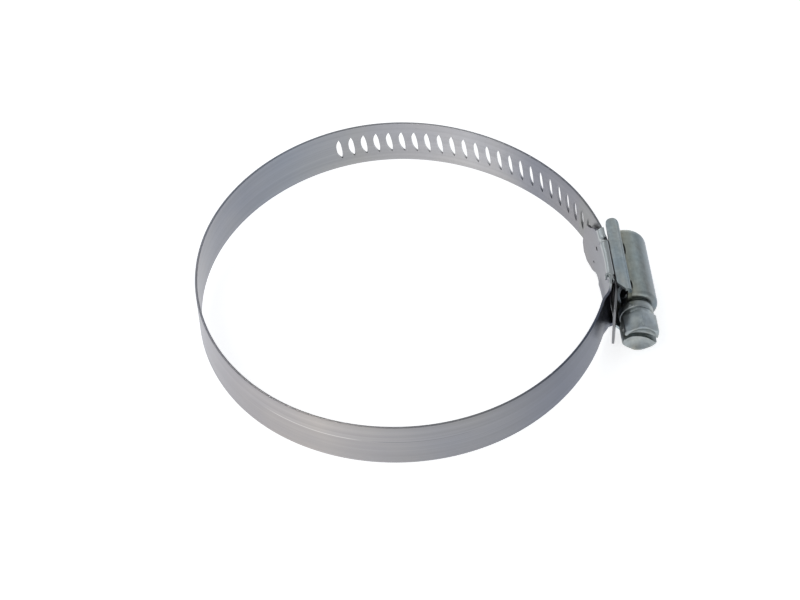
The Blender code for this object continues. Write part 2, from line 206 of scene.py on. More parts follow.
def bevel(obj, width, segments=2, angle=38.0):
    """Breaks the sharp edges, in millimetres."""
    mod = obj.modifiers.new("edges", "BEVEL")
    mod.width = width * MM
    mod.segments = segments
    mod.limit_method = "ANGLE"
    mod.angle_limit = math.radians(angle)
    mod.use_clamp_overlap = True
    mod.miter_outer = "MITER_ARC"
    apply_modifiers(obj)
    return obj


def shade(obj, angle=32.0):
    """Smooth shading, with the edges sharper than angle kept hard."""
    bm = bmesh.new()
    bm.from_mesh(obj.data)
    limit = math.radians(angle)
    for face in bm.faces:
        face.smooth = True
    for edge in bm.edges:
        edge.smooth = len(edge.link_faces) == 2 and edge.calc_face_angle(0.0) < limit
    bm.to_mesh(obj.data)
    bm.free()


def weighted(obj):
    """Large faces lead the normals at rounded edges, as on pressed sheet."""
    mod = obj.modifiers.new("normals", "WEIGHTED_NORMAL")
    mod.mode = "FACE_AREA_WITH_ANGLE"
    mod.weight = 90
    mod.keep_sharp = True
    apply_modifiers(obj)


# ---- the band's line -------------------------------------------------------------------

def ring_radius(theta):
    r = RING_R
    for n, a, b in RING_WAVES:
        r += a * math.cos(n * theta) + b * math.sin(n * theta)
    return r


def ring_point(theta):
    """Point and outward normal of the band's middle line on the ring."""
    d = 1e-4
    r = ring_radius(theta)
    p = (r * math.cos(theta), r * math.sin(theta))
    r0, r1 = ring_radius(theta - d), ring_radius(theta + d)
    tx = r1 * math.cos(theta + d) - r0 * math.cos(theta - d)
    ty = r1 * math.sin(theta + d) - r0 * math.sin(theta - d)
    size = math.hypot(tx, ty)
    return p, (ty / size, -tx / size)


def tail_arc():
    """Centre, radius and join angle of the arc that the tail follows."""
    (px, py), (nx, ny) = ring_point(JOIN_ANGLE)
    radius = (BAND_X - px) / (1.0 - nx)
    return px - radius * nx, py - radius * ny, radius, math.atan2(ny, nx)


def arc_at(radius, angle):
    cx, cy, _, _ = tail_arc()
    return cx + radius * math.cos(angle), cy + radius * math.sin(angle)


def arc_angle_at_y(radius, y):
    _, cy, _, _ = tail_arc()
    return math.asin((y - cy) / radius)


def ring_table(steps=7200):
    """Angle against length, from the join round to the stub."""
    end = 2.0 * math.pi + STUB_ANGLE
    rows = [(JOIN_ANGLE, 0.0)]
    last = ring_point(JOIN_ANGLE)[0]
    for i in range(1, steps + 1):
        theta = JOIN_ANGLE + (end - JOIN_ANGLE) * i / steps
        p = ring_point(theta)[0]
        rows.append((theta, rows[-1][1] + math.dist(p, last)))
        last = p
    return np.array(rows)


def strip_section(p, n, half, thick=BAND_THICK):
    """Cross-section of the strip, with edges rounded by rolling."""
    h = thick / 2.0
    r = min(EDGE_ROUND, half / 3.0)
    out = []
    for cx, cz, start in ((h - r, half - r, 0.0), (r - h, half - r, 90.0),
                          (r - h, r - half, 180.0), (h - r, r - half, 270.0)):
        for k in range(4):
            a = math.radians(start + 30.0 * k)
            off, z = cx + r * math.cos(a), cz + r * math.sin(a)
            out.append((p[0] + n[0] * off, p[1] + n[1] * off, z))
    return out


def line_normals(obj, line, limit=0.93):
    """Sets the strip's own smooth normals on its two broad faces, so that cuts and joints don't show."""
    mesh = obj.data
    pts = np.array([p for p, _ in line])
    nrm = np.array([n for _, n in line])
    co = np.empty(len(mesh.vertices) * 3)
    mesh.vertices.foreach_get("co", co)
    co = co.reshape(-1, 3) / MM
    seg = pts[1:] - pts[:-1]
    size = (seg ** 2).sum(1)
    rel = co[:, None, :2] - pts[None, :-1, :]
    t = np.clip((rel * seg[None]).sum(2) / size[None], 0.0, 1.0)
    gap = ((rel - t[:, :, None] * seg[None]) ** 2).sum(2)
    best = gap.argmin(1)
    u = t[np.arange(len(co)), best][:, None]
    flat = nrm[best] * (1.0 - u) + nrm[best + 1] * u
    flat /= np.linalg.norm(flat, axis=1)[:, None]
    corner = np.empty(len(mesh.loops) * 3)
    mesh.corner_normals.foreach_get("vector", corner)
    corner = corner.reshape(-1, 3)
    for poly in mesh.polygons:
        for li in poly.loop_indices:
            v = mesh.loops[li].vertex_index
            d = poly.normal.x * flat[v, 0] + poly.normal.y * flat[v, 1]
            if abs(d) > limit:
                s = 1.0 if d > 0 else -1.0
                corner[li] = (s * flat[v, 0], s * flat[v, 1], 0.0)
    mesh.normals_split_custom_set(corner.tolist())


# ---- slots -----------------------------------------------------------------------------

def slot_outline(steps=15):
    """Leaf shape in (along the band, across it); its bulge is on the +s side."""
    pts = []
    for side in (1, -1):
        depth = SLOT_OUT if side > 0 else SLOT_IN
        order = range(steps) if side > 0 else reversed(range(steps))
        for i in order:
            z = -SLOT_HALF_LEN + 2.0 * SLOT_HALF_LEN * i / (steps - 1)
            bow = 1.0 - abs(z / SLOT_HALF_LEN) ** SLOT_BLUNT
            pts.append((SLOT_SLOPE * z + side * (depth * bow + 0.03), z))
    return pts


def slot_cutter(places):
    """A separate leaf-shaped bar for each (point, normal) given, a little wider at the outer face."""
    outline = slot_outline()
    n = len(outline)
    verts, faces = [], []
    for p, nrm in places:
        t = (-nrm[1], nrm[0])
        base = len(verts)
        for depth in (-1.2, 1.2):
            for s, z in outline:
                verts.append((p[0] + nrm[0] * depth + t[0] * s, p[1] + nrm[1] * depth + t[1] * s, z))
        faces.append([base + j for j in range(n)])
        faces.append([base + n + j for j in range(n)])
        for j in range(n):
            k = (j + 1) % n
            faces.append([base + j, base + k, base + n + k, base + n + j])
    return new_object("slots", verts, faces)


# ---- band ------------------------------------------------------------------------------

def place(obj, body, nodes, mat):
    obj.data.materials.clear()
    obj.data.materials.append(mat)
    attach(obj, body)
    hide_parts(*nodes)


def tail_or_ring_point(s, rows):
    """Point and normal of the band's middle line at length s from the join, on the tail's side if s < 0."""
    if s >= 0.0:
        return ring_point(float(np.interp(s, rows[:, 1], rows[:, 0])))
    _, _, radius, top = tail_arc()
    a = top + s / radius
    return arc_at(radius, a), (math.cos(a), math.sin(a))


def build_links(mat):
    rows = ring_table()
    total = rows[-1, 1]
    length = PITCH * SLOTS_PER_LINK
    count = len([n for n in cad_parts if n.startswith("band_link_")])
    cuts = [length * i for i in range(count)] + [total]
    for i in range(count):
        steps = 14
        line = []
        for j in range(steps + 1):
            s = cuts[i] + (cuts[i + 1] - cuts[i]) * j / steps
            line.append(ring_point(float(np.interp(s, rows[:, 1], rows[:, 0]))))
        # A slightly thinner end reaches into the neighbour, so that no gap opens where the band bends.
        lap = []
        for s in (cuts[i] - LAP, cuts[i] - 0.02):
            p, n = tail_or_ring_point(s, rows)
            lap.append(strip_section(p, n, BAND_HALF - LAP_SLACK, BAND_THICK - 2.0 * LAP_SLACK))
        link = loft("strip_%02d" % (i + 1), lap + [strip_section(p, n, BAND_HALF) for p, n in line])
        places = []
        for k in range(RING_SLOTS):
            s = PITCH * (k + 0.5)
            if cuts[i] < s < cuts[i + 1]:
                places.append(ring_point(float(np.interp(s, rows[:, 1], rows[:, 0]))))
        if places:
            boolean(link, slot_cutter(places))
        shade(link, 40.0)
        line_normals(link, line)
        place(link, "link_%02d" % (i + 1), ["band_link_%02d" % (i + 1)], mat)


def build_tail(mat):
    _, _, radius, top = tail_arc()

    def half_width(from_end):
        if from_end >= TAIL_CORNER:
            return BAND_HALF
        return BAND_HALF - TAIL_CORNER + math.sqrt(max(0.0, TAIL_CORNER ** 2 - (TAIL_CORNER - from_end) ** 2))

    stops = [(TAIL_LENGTH - TAIL_CORNER) * j / 40 for j in range(41)]
    stops += [TAIL_LENGTH - TAIL_CORNER * (1.0 - math.sin(math.radians(a))) for a in (18, 36, 54, 72, 90)]
    line, sections = [], []
    for s in stops:
        a = top - s / radius
        spot = (arc_at(radius, a), (math.cos(a), math.sin(a)))
        line.append(spot)
        sections.append(strip_section(*spot, half_width(TAIL_LENGTH - s)))
    tail = loft("strip_tail", sections)
    places = []
    for k in range(TAIL_SLOTS):
        a = top - PITCH * (k + 0.5) / radius
        places.append((arc_at(radius, a), (math.cos(a), math.sin(a))))
    boolean(tail, slot_cutter(places))
    shade(tail, 40.0)
    line_normals(tail, line)
    place(tail, "tail", ["band_tail"], mat)


# ---- fixed end of the band -------------------------------------------------------------

UPPER_EDGE = ((-12.9, BAND_HALF), (WING_START, WING_HALF), (WING_END, WING_HALF), (5.2, 7.3), (6.3, 6.3),
              (10.8, 3.4), (12.1, 1.0), (TONGUE_END, -3.6))
LOWER_EDGE = ((-12.9, -BAND_HALF), (WING_START, -WING_HALF), (WING_END, -WING_HALF), (4.1, -7.1),
              (7.8, -8.8), (10.4, -8.9), (12.2, -7.5), (TONGUE_END, -5.2))


def smooth_step(u):
    u = min(1.0, max(0.0, u))
    return u * u * (3.0 - 2.0 * u)


def edge_curve(knots, y):
    """Smooth curve through (y, z) knots, flat beyond the first and last of them."""
    if y <= knots[0][0]:
        return knots[0][1]
    for (y0, z0), (y1, z1) in zip(knots, knots[1:]):
        if y <= y1:
            return z0 + (z1 - z0) * smooth_step((y - y0) / (y1 - y0))
    return knots[-1][1]


def bezier(p0, p1, p2, p3, u):
    v = 1.0 - u
    w = (v * v * v, 3 * v * v * u, 3 * v * u * u, u * u * u)
    d = (-3 * v * v, 3 * v * v - 6 * v * u, 6 * v * u - 3 * u * u, 3 * u * u)
    p = [sum(k * q[i] for k, q in zip(w, (p0, p1, p2, p3))) for i in (0, 1)]
    t = [sum(k * q[i] for k, q in zip(d, (p0, p1, p2, p3))) for i in (0, 1)]
    size = math.hypot(*t)
    return p, (-t[1] / size, t[0] / size)


def fixed_end_line():
    """Middle line of the fixed end, from the tongue's end to the ring."""
    _, _, radius, _ = tail_arc()
    mid = radius - BAND_THICK - LAYER_GAP
    # The stations crowd together towards the tongue's round end.
    ys = [TONGUE_END, 12.91, 12.86, 12.78, 12.64, 12.45, 12.2, 11.9, 11.5, 11.1]
    ys += list(np.arange(10.7, 4.2, -0.45)) + list(np.arange(4.1, 1.0, -0.25))
    ys += list(np.arange(0.8, -10.6, -0.7)) + list(np.arange(-10.8, -11.5, -0.12))
    line = []
    for y in ys:
        a = arc_angle_at_y(mid, y)
        line.append((arc_at(mid, a), (math.cos(a), math.sin(a))))
    p0, n0 = line[-1]
    p3, n3 = ring_point(STUB_BEND_ANGLE)
    reach = 2.3
    p1 = (p0[0] + n0[1] * reach, p0[1] - n0[0] * reach)
    p2 = (p3[0] - n3[1] * reach, p3[1] + n3[0] * reach)
    for j in range(1, 25):
        line.append(bezier(p0, p1, p2, p3, j / 24.0))
    line.append(ring_point(0.5 * (STUB_BEND_ANGLE + STUB_ANGLE)))
    line.append(ring_point(STUB_ANGLE))
    return line


def lip_rise(y, upper):
    """How far the wing's edge turns up, from 0 to 1. The upper wing ends in a smaller tab past a nick."""
    first = WING_START + (UPPER_LIP_START if upper else LOWER_LIP_START)
    rise = smooth_step((y - first) / 0.6) * smooth_step((WING_END - 0.1 - y) / 0.6)
    if upper:
        tab = smooth_step((y - WING_END + 0.1) / 0.5) * smooth_step((TAB_END - y) / 0.6)
        rise = max(rise, TAB_RISE * tab)
    return rise


def wing_drop(y):
    """How far the wing's foot dips below the plate before it turns up."""
    return 0.45 * smooth_step((y - WING_START) / 1.5) * smooth_step((TAB_END - y) / 3.0) * (1.0 - 0.03 * y)


def wing_path(p, edge, rise, steps_flat=12, steps_bend=7, steps_wall=3):
    """Half of the plate's cross-section: (height over the plate, distance from the middle), and normals."""
    side = 1.0 if edge > 0 else -1.0
    reach = abs(edge)
    turn = WING_HALF - BAND_THICK / 2.0 - LIP_BEND
    flat = min(reach, turn) if rise > 0 else reach
    drop = wing_drop(p[1]) * rise
    path = []
    for j in range(steps_flat):
        z = flat * j / steps_flat
        path.append(((-drop * smooth_step((z - 4.2) / 2.6), z), (1.0, 0.0)))
    top = LIP_TOP + (0.0 if edge > 0 else 0.23)
    extra = 0.0 if rise > TAB_RISE + 0.01 else 0.12
    wall = max(0.25, top - p[0] - LIP_BEND + drop + extra)
    for j in range(steps_bend + 1):
        a = math.radians(90.0) * rise * j / steps_bend
        z = flat + LIP_BEND * math.sin(a) + (1.0 - rise) * max(0.0, reach - flat) * j / steps_bend
        path.append(((LIP_BEND * (1.0 - math.cos(a)) - drop, z), (math.cos(a), -math.sin(a))))
    last, _ = path[-1]
    a = math.radians(90.0) * rise
    for j in range(1, steps_wall + 1):
        d = wall * rise * j / steps_wall + 1e-3 * j
        path.append(((last[0] + d * math.sin(a), last[1] + d * math.cos(a)), (math.cos(a), -math.sin(a))))
    return [((h, side * z), (nh, side * nz)) for (h, z), (nh, nz) in path]


def plate_section(p, n):
    """Closed cross-section of the plate with its turned-up wings."""
    low = wing_path(p, edge_curve(LOWER_EDGE, p[1]), lip_rise(p[1], False))
    high = wing_path(p, edge_curve(UPPER_EDGE, p[1]), lip_rise(p[1], True))
    if edge_curve(UPPER_EDGE, p[1]) < 0.0:
        shift = edge_curve(UPPER_EDGE, p[1])
        width = edge_curve(LOWER_EDGE, p[1]) - shift
        low = [((0.0, shift + width * j / (len(low) - 1)), (1.0, 0.0)) for j in range(len(low))]
        high = [((0.0, shift + 1e-4 * j), (1.0, 0.0)) for j in range(len(high))]
    mid = low[::-1] + high[1:]
    h = BAND_THICK / 2.0
    out = []
    for side in (1.0, -1.0):
        row = mid if side > 0 else mid[::-1]
        for k, ((up, z), (nh, nz)) in enumerate(row):
            at_end = k in (0, len(row) - 1)
            off = side * (h - (0.10 if at_end else 0.0))
            rise_x = up + nh * off
            out.append((p[0] + n[0] * rise_x, p[1] + n[1] * rise_x, z + nz * off))
    return out


def build_fixed_end(mat):
    line = fixed_end_line()
    plate = loft("strip_fixed_end", [plate_section(p, n) for p, n in line])
    bm = bmesh.new()
    bm.from_mesh(plate.data)
    bmesh.ops.remove_doubles(bm, verts=bm.verts, dist=2e-6)
    bmesh.ops.dissolve_degenerate(bm, edges=bm.edges, dist=2e-6)
    bmesh.ops.recalc_face_normals(bm, faces=bm.faces)
    bm.to_mesh(plate.data)
    bm.free()
    _, _, radius, _ = tail_arc()
    mid = radius - BAND_THICK - LAYER_GAP
    for y, z, r in TONGUE_MARKS:
        a = arc_angle_at_y(mid, y)
        mark = turned("mark", [(-1.2, r), (1.2, r)], 0.0, 20)
        mark.rotation_euler = (0.0, 0.0, a - math.pi / 2.0)
        mark.location = Vector((*arc_at(mid, a), z)) * MM
        boolean(plate, mark)
    shade(plate, 35.0)
    place(plate, "housing_unit", ["band_fixed_end"], mat)


def build_curl(mat):
    """The wing's corner, curled over at the head end of the housing."""
    path = []
    for j in range(17):
        a = math.radians(200.0 - 200.0 * j / 16.0)
        n = (math.cos(a), math.sin(a))
        path.append(((CURL_X + CURL_R * n[0], CURL_Y + CURL_R * n[1]), n))
    for j in range(1, 6):
        path.append(((CURL_X + CURL_R + 0.05 * j, CURL_Y - 0.26 * j), (1.0, 0.19)))
    rings = []
    h, c = CURL_HALF_THICK, CURL_CHAMFER
    for k, ((x, y), (nx, ny)) in enumerate(path):
        high = CURL_HIGH - 0.35 * smooth_step((k - 12) / 8.0)
        section = ((CURL_LOW + c, h), (high - c, h), (high, h - c), (high, c - h),
                   (high - c, -h), (CURL_LOW + c, -h), (CURL_LOW, c - h), (CURL_LOW, h - c))
        rings.append([(x + nx * off, y + ny * off, z) for z, off in section])
    curl = loft("strip_curl", rings)
    shade(curl, 35.0)
    place(curl, "housing_unit", [], mat)


# ---- screw -----------------------------------------------------------------------------

def turned(name, profile, center, segments=64, start=0.0):
    """A solid of revolution about a line parallel to Y, from (y, r) pairs."""
    rings = []
    for y, r in profile:
        ring = []
        for j in range(segments):
            a = start + 2.0 * math.pi * j / segments
            ring.append((center + r * math.cos(a), y, r * math.sin(a)))
        rings.append(ring)
    return loft(name, rings)


def thread_phase():
    _, cy, radius, top = tail_arc()
    best = None
    for k in range(TAIL_SLOTS):
        a = top - PITCH * (k + 0.5) / radius
        if best is None or abs(a) < abs(best):
            best = a
    return cy + radius * math.sin(best) + 0.5 * (SLOT_OUT - SLOT_IN)


def thread_ridge():
    """Right-handed ridge wound about the screw's axis, with a rounded crest."""
    phase = thread_phase()
    seg = 40
    first = math.ceil((THREAD_START - phase) / LEAD * seg)
    last = math.floor((THREAD_END - phase) / LEAD * seg)
    rings = []
    for i in range(first, last + 1):
        turn = 2.0 * math.pi * i / seg
        y = phase + LEAD * i / seg
        grow = min(1.0, (i - first) / 8.0, (last - i) / 8.0)
        crest = CORE_R - 0.12 + (CREST_R - CORE_R + 0.12) * max(0.02, grow)
        ux, uz = -math.cos(turn), math.sin(turn)
        ring = []
        for r, off in ((CORE_R - 0.3, -RIDGE_ROOT / 2), (crest - 0.12, -RIDGE_TIP / 2 - 0.03),
                       (crest, -RIDGE_TIP / 2 + 0.12), (crest, RIDGE_TIP / 2 - 0.12),
                       (crest - 0.12, RIDGE_TIP / 2 + 0.03), (CORE_R - 0.3, RIDGE_ROOT / 2)):
            ring.append((SCREW_X + r * ux, y + off, r * uz))
        rings.append(ring)
    return loft("ridge", rings)


def hexagon(name):
    corner = HEX_AF / math.sqrt(3.0)
    rings = []
    for y in (HEX_BACK, HEX_END):
        rings.append([(SCREW_X + corner * math.cos(HEX_TURN + math.pi / 3.0 * j), y,
                       corner * math.sin(HEX_TURN + math.pi / 3.0 * j)) for j in range(6)])
    return loft(name, rings)


def driver_slot():
    h = DRIVER_SLOT_W / 2.0
    ca, sa = math.cos(DRIVER_SLOT_TURN), math.sin(DRIVER_SLOT_TURN)
    rings = []
    for y in (HEX_END - 1.0, HEX_END + DRIVER_SLOT_DEPTH):
        rings.append([(SCREW_X + u * ca - v * sa, y, u * sa + v * ca)
                      for u, v in ((-6.0, -h), (6.0, -h), (6.0, h), (-6.0, h))])
    return loft("driver_slot", rings)


def round_corner(y, r, dy, dr, size, steps=4):
    """Points of a rounded corner at (y, r), between the directions back along dy and on along dr."""
    out = []
    for j in range(steps + 1):
        a = math.pi / 2.0 * j / steps
        out.append((y + dy * size * (1.0 - math.sin(a)), r + dr * size * (1.0 - math.cos(a))))
    return out


def dish_profile():
    """The bowl-shaped hollow in the end of the hex head."""
    pts = [(HEX_END - 0.5, DISH_R + 0.14), (HEX_END - 0.02, DISH_R + 0.10)]
    for j in range(13):
        u = 1.0 - j / 13.0
        pts.append((HEX_END + 0.02 + (DISH_DEPTH - 0.02) * (1.0 - u ** 2.4), DISH_R * u))
    return pts + [(HEX_END + DISH_DEPTH, 0.1)]


def build_screw(mat):
    corner = HEX_AF / math.sqrt(3.0)
    flat = HEX_AF / 2.0
    head = hexagon("worm")
    bevel(head, 0.16, 2)
    envelope = [(HEX_BACK + 0.5, flat * 0.99), (HEX_BACK, flat * 1.01), (HEX_BACK - 0.14, corner - 0.20),
                (HEX_BACK - 0.34, corner + 0.05), (HEX_END + 0.62, corner + 0.05),
                (HEX_END + 0.32, corner - 0.16), (HEX_END + 0.12, flat * 1.04), (HEX_END + 0.03, flat * 0.99),
                (HEX_END, 0.3)]
    boolean(head, turned("envelope", envelope, SCREW_X, 96), "INTERSECT")
    boolean(head, turned("dish", dish_profile(), SCREW_X, 72, math.radians(3.0)))
    boolean(head, driver_slot())
    bevel(head, 0.09, 2, 30.0)
    collar = [(COLLAR_BACK - 0.12, NECK_BY_HEX_R)]
    collar += round_corner(COLLAR_BACK, COLLAR_R, 1, -1, 0.30)[::-1]
    collar += round_corner(COLLAR_FRONT, COLLAR_R, -1, -1, 0.30)
    shank = [(HEX_BACK - 0.6, NECK_BY_HEX_R)] + collar
    shank += [(COLLAR_FRONT + 0.02, NECK_R), (THREAD_START - 0.55, NECK_R), (THREAD_START - 0.3, CORE_R),
              (SCREW_TIP - 0.8, CORE_R), (SCREW_TIP - 0.1, CORE_R - 0.75), (SCREW_TIP, CORE_R - 0.95)]
    boolean(head, turned("shank", shank, SCREW_X, 96, math.radians(1.3)), "UNION")
    boolean(head, thread_ridge(), "UNION")
    shade(head, 30.0)
    place(head, "screw", ["worm_screw"], mat)


# ---- housing ---------------------------------------------------------------------------

def box_solid(name, lo, hi):
    rings = []
    for y in (lo[1], hi[1]):
        rings.append([(lo[0], y, lo[2]), (hi[0], y, lo[2]), (hi[0], y, hi[2]), (lo[0], y, hi[2])])
    return loft(name, rings)


def channel_section(y):
    """Web and side walls as one bent sheet, with a real bend radius outside and inside."""
    inner = SIDE_HALF - SHEET
    r_in = SIDE_BEND - SHEET
    x0, z0 = WEB_TOP - SIDE_BEND, SIDE_HALF - SIDE_BEND
    out = [(SIDE_LOW, y, SIDE_HALF)]
    for j in range(9):
        a = math.pi / 2.0 * j / 8.0
        out.append((x0 + SIDE_BEND * math.sin(a), y, z0 + SIDE_BEND * math.cos(a)))
    half = out[:]
    out += [(x, yy, -z) for x, yy, z in reversed(half)]
    out.append((SIDE_LOW, y, -inner))
    low = []
    for j in range(5):
        a = math.pi / 2.0 * j / 4.0
        low.append((x0 + r_in * math.sin(a), y, -(z0 + r_in * math.cos(a))))
    out += low
    out += [(x, yy, -z) for x, yy, z in reversed(low)]
    out.append((SIDE_LOW, y, inner))
    return out


def tip_cutter(side):
    """Rounds the free end of a side wall: what lies outside the half-round is taken away."""
    r = (WEB_TOP - SIDE_LOW) / 2.0
    mid = (WEB_TOP + SIDE_LOW) / 2.0
    high, low = WEB_TOP + 0.6, SIDE_LOW - 0.6
    outline = [(high, SIDE_TIP - r), (high, SIDE_TIP + 1.0), (low, SIDE_TIP + 1.0), (low, SIDE_TIP - r),
               (SIDE_LOW, SIDE_TIP - r)]
    for j in range(1, 24):
        a = math.pi - math.pi * j / 24.0
        outline.append((mid + r * math.cos(a), SIDE_TIP - r + r * math.sin(a)))
    outline.append((mid + r, SIDE_TIP - r))
    rings = []
    for z in (side * (SIDE_HALF - SHEET - 0.6), side * (SIDE_HALF + 1.0)):
        rings.append([(x, y, z) for x, y in outline])
    return loft("tip_cutter", rings)


def relief_slit(y0, y1, side):
    """A pointed slit through the barrel's wall, beside the crease with the side wall."""
    outline = []
    for steps, width in ((range(13), -0.27), (range(11, 0, -1), 0.24)):
        for j in steps:
            u = j / 12.0
            outline.append((RELIEF_X + width * math.sin(math.pi * u) ** 0.7, y0 + (y1 - y0) * u))
    rings = [[(x, y, z) for x, y in outline] for z in (side * 4.0, side * 5.9)]
    return loft("relief", rings)


def head_corner(side):
    """The slanted corner of a side wall, at the screw head's end."""
    rings = []
    for z in (side * (SIDE_HALF - SHEET - 0.5), side * (SIDE_HALF + 1.0)):
        rings.append([(x, y, z) for x, y in HEAD_CORNER])
    return loft("head_corner", rings)


def barrel_profile():
    pts = [(BARREL_HEAD, HEAD_HOLE_R - 1.0)]
    for j in range(9):
        a = math.pi / 2.0 * j / 8.0
        pts.append((BARREL_HEAD + HEAD_ROUND * (1.0 - math.cos(a)),
                    BARREL_R - HEAD_ROUND * (1.0 - math.sin(a))))
    for j in range(13):
        a = math.pi / 2.0 * j / 12.0
        pts.append((BARREL_TIP - TIP_ROUND + TIP_ROUND * math.sin(a),
                    BARREL_R - TIP_ROUND + TIP_ROUND * math.cos(a)))
    return pts


def build_housing(mat):
    r = (WEB_TOP - SIDE_LOW) / 2.0
    body = loft("shell", [channel_section(y) for y in (SIDE_HEAD, SIDE_TIP)])
    for side in (1, -1):
        boolean(body, tip_cutter(side))
    inner = SIDE_HALF - SHEET
    boolean(body, box_solid("web_end", (SIDE_LOW - 1.0, SIDE_TIP - r, 0.01 - inner),
                            (WEB_TOP + 1.0, SIDE_TIP + 1.0, inner - 0.01)))
    boolean(body, turned("barrel", barrel_profile(), SCREW_X, 96, math.radians(1.9)), "UNION")
    inside = [(BARREL_HEAD + SHEET, BORE_R - 0.35), (BARREL_HEAD + SHEET + 0.35, BORE_R),
              (BARREL_TIP - TIP_WALL - 1.4, BORE_R), (BARREL_TIP - TIP_WALL - 0.4, BORE_R - 0.4),
              (BARREL_TIP - TIP_WALL, BORE_R - 1.4)]
    boolean(body, turned("bore", inside, SCREW_X, 64, math.radians(1.0)))
    hole = [(BARREL_HEAD - 1.0, HEAD_HOLE_R), (BARREL_HEAD + 2.0, HEAD_HOLE_R)]
    boolean(body, turned("hole", hole, SCREW_X, 64, math.radians(2.0)))
    boolean(body, box_solid("under", (SCREW_X - BARREL_R - 1.0, BARREL_HEAD - 1.0, -inner),
                            (WEB_TOP - SHEET - 0.001, SIDE_TIP + 1.0, inner)))
    for side in (1, -1):
        boolean(body, head_corner(side))
        for y0, y1 in RELIEF_RUNS:
            boolean(body, relief_slit(y0, y1, side))
    bevel(body, 0.11, 2, 40.0)
    shade(body, 30.0)
    weighted(body)
    place(body, "housing_unit", ["housing"], mat)


# ---- materials -------------------------------------------------------------------------

def set_stops(node, stops):
    """Gives a colour ramp node its stops, from (position, colour) pairs."""
    elements = node.color_ramp.elements
    while len(elements) < len(stops):
        elements.new(0.5)
    for element, (at, color) in zip(elements, stops):
        element.position = at
        element.color = (*color, 1.0)


class Nodes:
    """Short forms for building one material's nodes."""

    def __init__(self, name):
        self.mat = bpy.data.materials.new(name)
        self.mat.use_nodes = True
        self.tree = self.mat.node_tree
        self.shader = self.tree.nodes["Principled BSDF"]
        self.coords = self.add("ShaderNodeTexCoord").outputs["Object"]

    def add(self, kind, **values):
        node = self.tree.nodes.new(kind)
        for key, value in values.items():
            setattr(node, key, value)
        return node

    def link(self, a, b):
        self.tree.links.new(a, b)

    def noise(self, scale, stretch=(1, 1, 1), detail=4.0, rough=0.55, offset=0.0):
        mapping = self.add("ShaderNodeMapping")
        mapping.inputs["Scale"].default_value = stretch
        mapping.inputs["Location"].default_value = (offset, offset * 0.7, offset * 1.3)
        self.link(self.coords, mapping.inputs["Vector"])
        node = self.add("ShaderNodeTexNoise")
        node.inputs["Scale"].default_value = scale
        node.inputs["Detail"].default_value = detail
        node.inputs["Roughness"].default_value = rough
        self.link(mapping.outputs["Vector"], node.inputs["Vector"])
        return node.outputs["Fac"]

    def ramp(self, value, stops):
        node = self.add("ShaderNodeValToRGB")
        set_stops(node, stops)
        self.link(value, node.inputs["Fac"])
        return node.outputs["Color"]

    def grey(self, value, stops):
        return self.ramp(value, [(at, (g, g, g)) for at, g in stops])

    def mix(self, factor, a, b, blend="MIX"):
        node = self.add("ShaderNodeMix", data_type="RGBA", blend_type=blend)
        for index, value in ((0, factor), (6, a), (7, b)):
            socket = node.inputs[index]
            if isinstance(value, (int, float)):
                socket.default_value = value
            elif isinstance(value, tuple):
                socket.default_value = (*value, 1.0)
            else:
                self.link(value, socket)
        return node.outputs[2]

    def position(self):
        """The point's x, y and z at rest, in metres."""
        split = self.add("ShaderNodeSeparateXYZ")
        self.link(self.coords, split.inputs["Vector"])
        return split.outputs

    def rise(self, value, start, width):
        """0 up to start and 1 past start + width, both in millimetres; a negative width turns it round."""
        return self.math("MULTIPLY", self.math("SUBTRACT", value, start * MM), 1.0 / (width * MM), True)

    def times(self, *values):
        """The product of two or more masks."""
        result = values[0]
        for value in values[1:]:
            result = self.math("MULTIPLY", result, value)
        return result

    def math(self, operation, a, b=None, clamp=False):
        node = self.add("ShaderNodeMath", operation=operation, use_clamp=clamp)
        for index, value in enumerate((a, b)):
            if value is None:
                continue
            if isinstance(value, (int, float)):
                node.inputs[index].default_value = value
            else:
                self.link(value, node.inputs[index])
        return node.outputs[0]

    def finish(self, color, roughness, height, bump, distance, metallic=1.0):
        shader = self.shader
        shader.inputs["Metallic"].default_value = metallic
        self.link(color, shader.inputs["Base Color"])
        self.link(roughness, shader.inputs["Roughness"])
        node = self.add("ShaderNodeBump")
        node.inputs["Strength"].default_value = bump
        node.inputs["Distance"].default_value = distance
        self.link(height, node.inputs["Height"])
        self.link(node.outputs["Normal"], shader.inputs["Normal"])
        return self.mat


# Painted light and shade on the strip against the angle round the ring, from -180 to 180 degrees as 0 to 1:
# painted reflections light in front and at the back, painted shade by the housing.
PAINTED_LIGHT_ROUND_RING = (
    (0.00, (0.91, 0.91, 0.91)), (0.09, (0.99, 0.96, 0.93)), (0.17, (1.36, 1.28, 1.12)),
    (0.25, (0.91, 0.91, 0.86)), (0.31, (0.73, 0.75, 0.74)), (0.37, (0.44, 0.48, 0.54)),
    (0.43, (0.34, 0.39, 0.49)), (0.50, (0.52, 0.55, 0.60)), (0.56, (0.70, 0.70, 0.72)),
    (0.61, (0.76, 0.78, 0.80)), (0.67, (1.50, 1.48, 1.36)), (0.72, (1.27, 1.25, 1.16)),
    (0.77, (1.04, 1.05, 0.98)), (0.83, (0.82, 0.88, 0.90)), (0.88, (0.72, 0.77, 0.81)),
    (1.00, (0.91, 0.91, 0.91)))
TONE_OF_TAIL = ((0.0, (0.70, 0.72, 0.70)), (1.0, (0.70, 0.72, 0.70)))
SCRATCH_Z = 0.9
SCRATCH_HALF = 0.14


